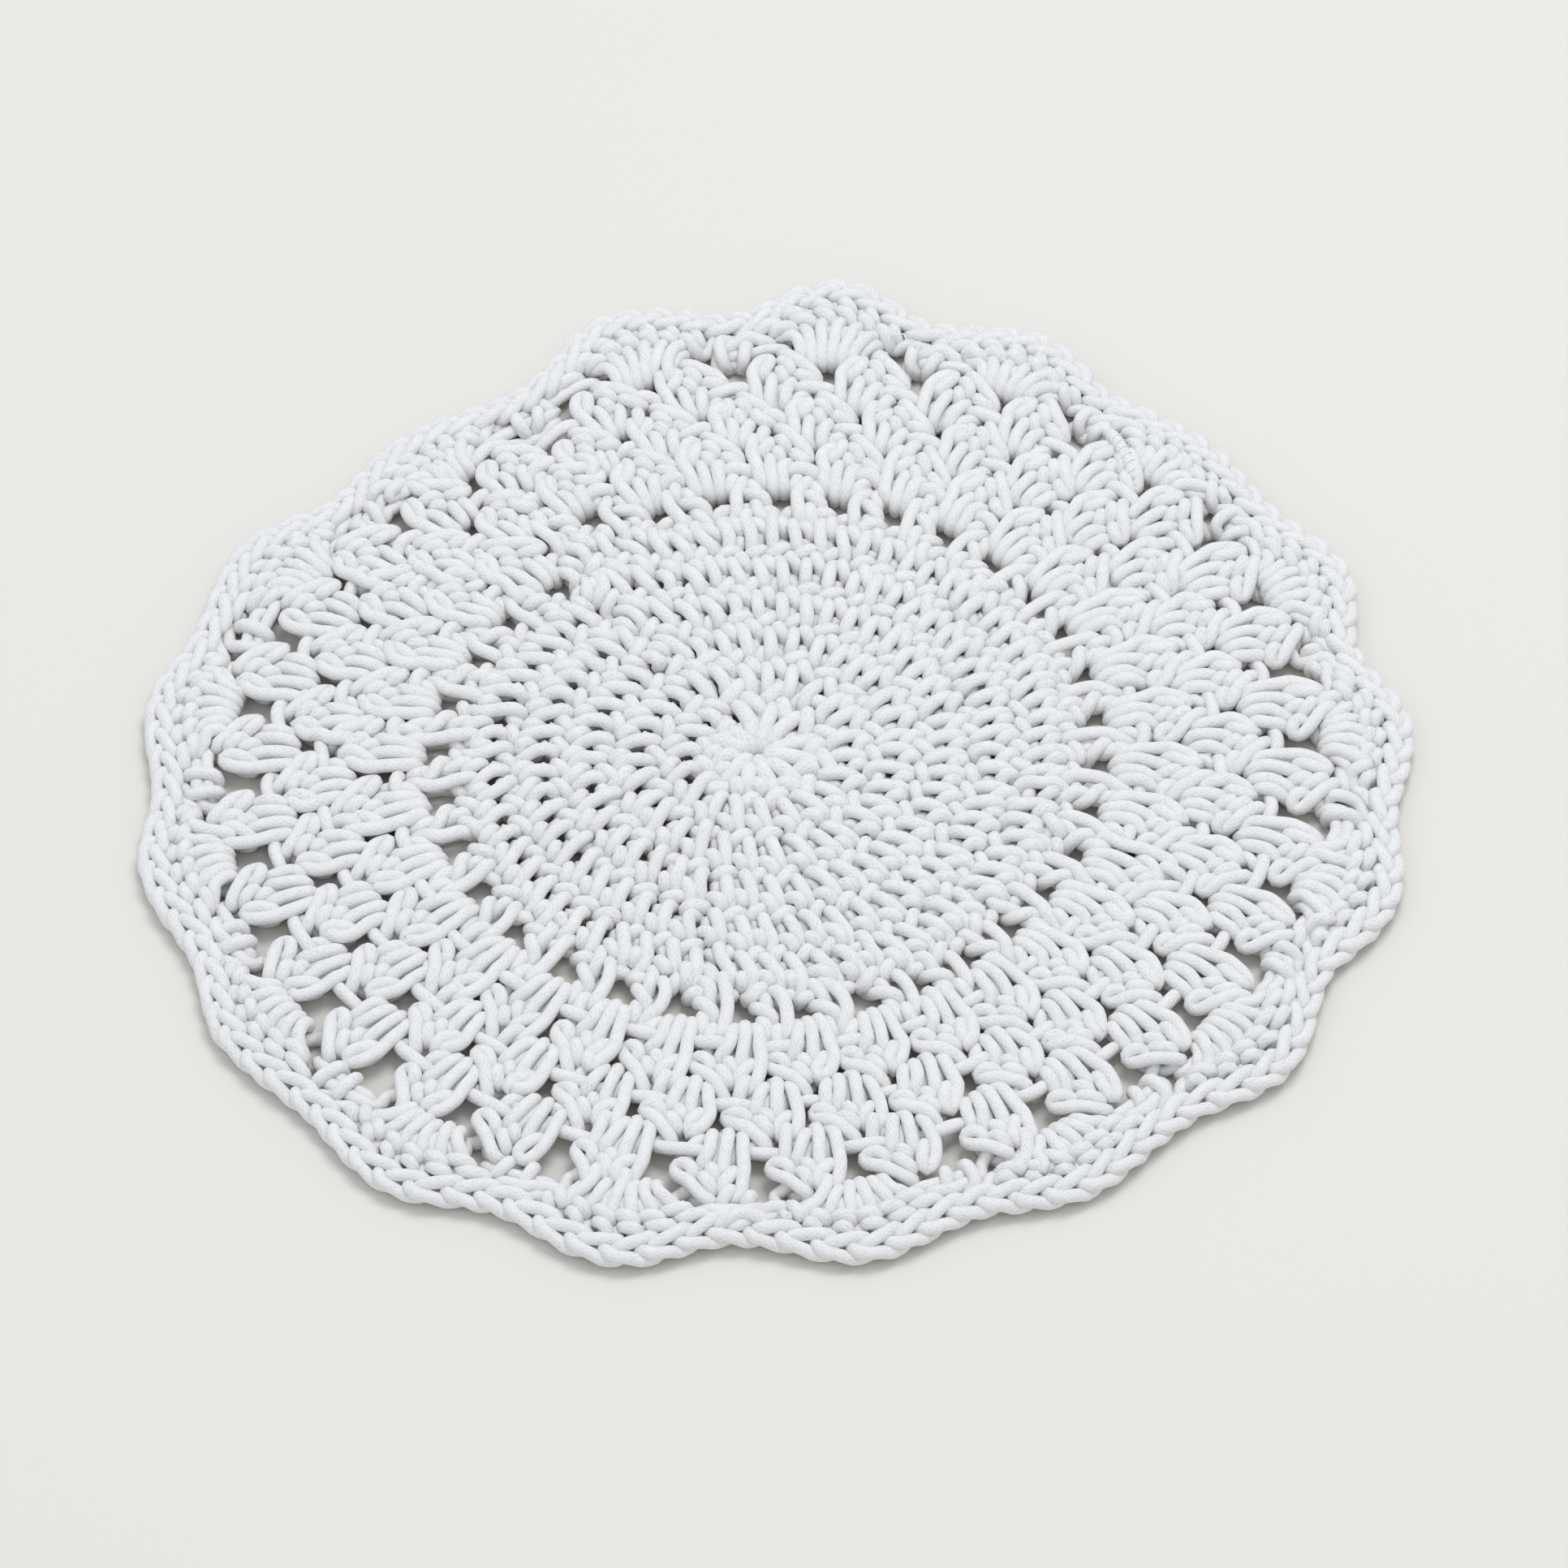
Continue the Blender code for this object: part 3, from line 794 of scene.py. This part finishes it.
def parallel_normals(along):
    """A direction across the cord at each point, carried on with the least turning.

    A fixed slanted direction is made square to the cord at every point, then turned about the cord
    by the running total of the small turns that carrying on would have made.
    """
    fixed = np.cross(along, SLANT)
    fixed /= np.maximum(np.linalg.norm(fixed, axis=1), TINY)[:, None]
    before = fixed[:-1] - along[1:] * np.sum(fixed[:-1] * along[1:], axis=1)[:, None]
    before /= np.maximum(np.linalg.norm(before, axis=1), TINY)[:, None]
    sine = np.sum(np.cross(fixed[1:], before) * along[1:], axis=1)
    cosine = np.sum(fixed[1:] * before, axis=1)
    turn = np.concatenate(([0], np.cumsum(np.arctan2(sine, cosine))))
    side = np.cross(along, fixed)
    return fixed * np.cos(turn)[:, None] + side * np.sin(turn)[:, None]


def new_piece(name, vertices, face_groups, uv, material):
    """An object made from whole arrays of vertices, faces of three or four corners, and UVs."""
    mesh = bpy.data.meshes.new(name)
    counts = np.concatenate([np.full(len(group), group.shape[1]) for group in face_groups])
    corners = np.concatenate([group.reshape(-1) for group in face_groups])
    mesh.vertices.add(len(vertices))
    mesh.vertices.foreach_set("co", vertices.astype(np.float32).reshape(-1))
    mesh.loops.add(len(corners))
    mesh.loops.foreach_set("vertex_index", corners.astype(np.int32))
    mesh.polygons.add(len(counts))
    starts = (np.cumsum(counts) - counts).astype(np.int32)
    mesh.polygons.foreach_set("loop_start", starts)
    mesh.update(calc_edges=True)
    layer = mesh.uv_layers.new(name="cord")
    layer.data.foreach_set("uv", uv.astype(np.float32).reshape(-1))
    mesh.polygons.foreach_set("use_smooth", np.ones(len(counts), bool))
    mesh.materials.append(material)
    piece = bpy.data.objects.new(name, mesh)
    bpy.context.scene.collection.objects.link(piece)
    return piece


def add_node(tree, kind, settings=None, **links):
    """A node of a kind with its settings, its inputs linked or set by name, spaces as underscores."""
    node = tree.nodes.new(kind)
    for key, value in (settings or {}).items():
        setattr(node, key, value)
    for key, value in links.items():
        name = key.replace("_", " ").strip()
        socket = node.inputs[int(name) if name.isdigit() else name]
        if hasattr(value, "is_linked"):
            tree.links.new(value, socket)
        else:
            socket.default_value = value
    return node


def maths(tree, operation, *values):
    """The output of a maths node whose inputs are numbers or other nodes' outputs."""
    links = {f"_{place}": value for place, value in enumerate(values)}
    return add_node(tree, "ShaderNodeMath", {"operation": operation}, **links).outputs[0]


def noise(tree, vector, scale):
    """The output of a noise texture of two octaves at a scale."""
    node = add_node(tree, "ShaderNodeTexNoise", Vector=vector, Scale=scale, Detail=2.0)
    return node.outputs["Fac"]


def between(tree, value, low, high):
    """A value's share of the way from low to high, kept from 0 to 1."""
    links = {"Value": value, "From_Min": low, "From_Max": high}
    return add_node(tree, "ShaderNodeMapRange", **links).outputs["Result"]


def blend(tree, factor, first, second):
    """A mix of two colours, each given in hex or as another node's output."""
    first, second = (linear(c) if isinstance(c, str) else c for c in (first, second))
    links = {"_0": factor, "_6": first, "_7": second}
    return add_node(tree, "ShaderNodeMix", {"data_type": "RGBA"}, **links).outputs[2]


def cotton():
    """Undyed off-white cotton cord, braided from many fine yarns, soft and without shine.

    Two sets of lines wind round the cord in opposite ways. Where either is near its line there is a
    groove, and their product gives the braid's relief. The eye sees a fine plait, darker dashes of
    painted shade in parts of its grooves, sparse specks drawn out along the cord, and a slight change
    of tone from place to place. The fuzz is drawn coarser than real fibres, which would be too fine
    to show.
    """
    material = bpy.data.materials.new("off-white cotton cord")
    material.use_nodes = True
    tree = material.node_tree
    shader = tree.nodes["Principled BSDF"]
    shader.inputs["Roughness"].default_value = 0.9
    shader.inputs["Specular IOR Level"].default_value = 0.15
    shader.inputs["Sheen Weight"].default_value = 0.2
    shader.inputs["Sheen Roughness"].default_value = 0.5
    coordinates = add_node(tree, "ShaderNodeTexCoord")
    place = coordinates.outputs["Object"]
    parts = add_node(tree, "ShaderNodeSeparateXYZ", Vector=coordinates.outputs["UV"])
    around, along = parts.outputs["X"], parts.outputs["Y"]
    length = maths(tree, "MULTIPLY", along, BRAID_REPEATS)
    lines = []
    for way in (BRAID_LINES, -BRAID_LINES):
        wound = maths(tree, "MULTIPLY_ADD", around, way, length)
        lines.append(maths(tree, "PINGPONG", wound, 0.5))
    braid = maths(tree, "MULTIPLY", *lines)
    height = maths(tree, "MULTIPLY_ADD", noise(tree, place, FUZZ_SCALE), FUZZ_SHARE, braid)
    relief = {"Height": height, "Distance": BRAID_DEPTH, "Strength": BRAID_STRENGTH}
    bump = add_node(tree, "ShaderNodeBump", **relief)
    tree.links.new(bump.outputs["Normal"], shader.inputs["Normal"])
    # Painted shade in the braid's grooves, in random patches: the groove mask times a patchy noise
    groove = maths(tree, "SUBTRACT", 1.0, between(tree, braid, *GROOVE_RANGE))
    patch = between(tree, noise(tree, place, DASH_SCALE), *DASH_RANGE)
    groove_shade = maths(tree, "MULTIPLY", maths(tree, "MULTIPLY", groove, patch), DASH_SHADE)
    drawn = add_node(
        tree,
        "ShaderNodeCombineXYZ",
        X=maths(tree, "MULTIPLY", around, SPECKS_ROUND),
        Y=maths(tree, "MULTIPLY", along, SPECKS_ALONG),
    )
    specks = between(tree, noise(tree, drawn.outputs["Vector"], 1.0), *SPECK_RANGE)
    tone = blend(tree, noise(tree, place, TONE_SCALE), *BASE_TONES)
    # The painted groove shade laid over the base tone
    tone = blend(tree, groove_shade, tone, GROOVE_SHADE_TONE)
    tone = blend(tree, maths(tree, "MULTIPLY", specks, SPECK_SHADE), tone, SPECK_TONE)
    tree.links.new(tone, shader.inputs["Base Color"])
    return material


def plain(name, hexcode, roughness):
    """A plain matt material."""
    material = bpy.data.materials.new(name)
    material.use_nodes = True
    shader = material.node_tree.nodes["Principled BSDF"]
    shader.inputs["Base Color"].default_value = linear(hexcode)
    shader.inputs["Roughness"].default_value = roughness
    shader.inputs["Specular IOR Level"].default_value = 0.1
    return material


def make_mat(material):
    """The mat as tubes along the settled cord, each running on into the next.

    The cord's radius is half its drawn thickness, times a slow wander of a few hundredths, times
    its turn's share. No strand goes below the table.
    """
    random = np.random.default_rng(SEED)
    points, turns = even(*worked_cord(random), SPACING)
    points = settle(points, CORD * np.interp(turns, TOUCH_TURNS, TOUCH_SHARES))
    knots = np.arange(0, len(points) + CHANGE_EVERY, CHANGE_EVERY)
    wander = np.interp(np.arange(len(points)), knots, random.normal(size=len(knots)))
    radii = 0.5 * DRAWN * (1 + THICKNESS_CHANGE * np.clip(wander, -MOST_CHANGE, MOST_CHANGE))
    radii *= np.interp(turns, DRAWN_TURNS, DRAWN_SHARES)
    points[:, 2] = np.maximum(points[:, 2], radii)
    pieces = []
    for low, high, names in TURN_PIECES:
        chosen = np.flatnonzero((turns >= low) & (turns <= high))
        for name, share in zip(names, np.array_split(chosen, len(names))):
            reach = slice(share[0], min(share[-1] + 2, len(points)))
            parts = tube(points[reach], radii[reach], SIDES)
            pieces.append(new_piece(name, *parts, material))
    return pieces


def make_ends(cord_material, thread_material):
    """The cord's woven-in end with sewing thread wound round it, and a loose thread further back.

    The winding goes round the end's line at just over its radius, evenly from a third of the way
    along it to near its tip, then leaves it in a small loop.
    """
    end, _ = even(np.array(CORD_END) * (MM, MM, CORD), np.zeros(len(CORD_END)), END_SPACING)
    parts = tube(end, np.full(len(end), END_RADIUS), END_SIDES)
    pieces = [new_piece("cord_end", *parts, cord_material)]
    along = np.gradient(end, axis=0)
    along /= np.linalg.norm(along, axis=1)[:, None]
    side = parallel_normals(along)
    across = np.cross(along, side)
    turn = np.linspace(0, 2 * np.pi * WINDINGS, WINDING_POINTS * WINDINGS)
    place = np.linspace(*WOUND_PART, len(turn)) * (len(end) - 1)
    line, first, second = (
        np.stack([np.interp(place, np.arange(len(end)), way[:, axis]) for axis in range(3)], axis=1)
        for way in (end, side, across)
    )
    out = first * np.cos(turn)[:, None] + second * np.sin(turn)[:, None]
    wound = line + WINDING_RADIUS * out
    winding = np.vstack((wound, wound[-1] + np.array(THREAD_LOOP) * MM))
    strand = np.array(LOOSE_THREAD) * (MM, MM, CORD)
    for name, points in (("winding_thread", winding), ("loose_thread", strand)):
        points, _ = even(points, np.zeros(len(points)), THREAD_SPACING)
        parts = tube(points, np.full(len(points), THREAD / 2), THREAD_SIDES)
        pieces.append(new_piece(name, *parts, thread_material))
    return pieces


def make_floor():
    """A broad flat floor of pale uncoated paper: an even, shineless warm white to the eye."""
    mesh = bpy.data.meshes.new("floor")
    half = 6.0
    corners = [(-half, -half, 0), (half, -half, 0), (half, half, 0), (-half, half, 0)]
    mesh.from_pydata(corners, [], [(0, 1, 2, 3)])
    floor = bpy.data.objects.new("floor", mesh)
    bpy.context.scene.collection.objects.link(floor)
    mesh.materials.append(plain("pale paper floor", "#e4e0da", 0.9))


def soft_light(name, place, target, size, power, colour):
    """A square area light, given its side and watts, that faces a target."""
    light = bpy.data.lights.new(name, "AREA")
    light.shape = "SQUARE"
    light.size = size
    light.energy = power
    light.color = colour
    lamp = bpy.data.objects.new(name, light)
    lamp.location = place
    aim(lamp, target)
    bpy.context.scene.collection.objects.link(lamp)


def aim(thing, target):
    """Turns a camera or light so that it looks at a target."""
    way = Vector(target) - thing.location
    thing.rotation_euler = way.to_track_quat("-Z", "Y").to_euler()


def light_scene():
    """A pale surround and two soft lights: a high one behind on the right, a weak one in front."""
    world = bpy.data.worlds.new("pale room")
    bpy.context.scene.world = world
    world.use_nodes = True
    background = world.node_tree.nodes["Background"]
    background.inputs["Color"].default_value = linear("#f0f4f9")
    background.inputs["Strength"].default_value = 0.80
    for name, place, size, power, colour in LIGHTS:
        soft_light(name, place, (0, 0, 0), size, power, colour)
    bpy.context.scene.view_settings.view_transform = "Standard"


def make_camera():
    """The photo's view: from the front at 50.5 degrees above the table with a long lens."""
    camera = bpy.data.cameras.new("camera")
    camera.lens = 241.0
    camera.sensor_width = 36.0
    camera.clip_end = 20.0
    eye = bpy.data.objects.new("camera", camera)
    target = (0.0087, -0.0119, 0.007)
    distance = 3.128
    rise = math.radians(50.5)
    eye.location = (
        target[0],
        target[1] - distance * math.cos(rise),
        target[2] + distance * math.sin(rise),
    )
    aim(eye, target)
    bpy.context.scene.collection.objects.link(eye)
    bpy.context.scene.camera = eye


def main():
    """Makes the mat, its loose ends, the floor, the lights and the camera."""
    material = cotton()
    pieces = make_mat(material)
    # Smooth spun thread, which the eye sees as a little whiter and crisper than the cord
    thread = plain("white sewing thread", "#f1f2f2", 0.45)
    pieces += make_ends(material, thread)
    for piece in pieces:
        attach(piece, "root")
    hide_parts("mat")
    make_floor()
    light_scene()
    make_camera()


main()
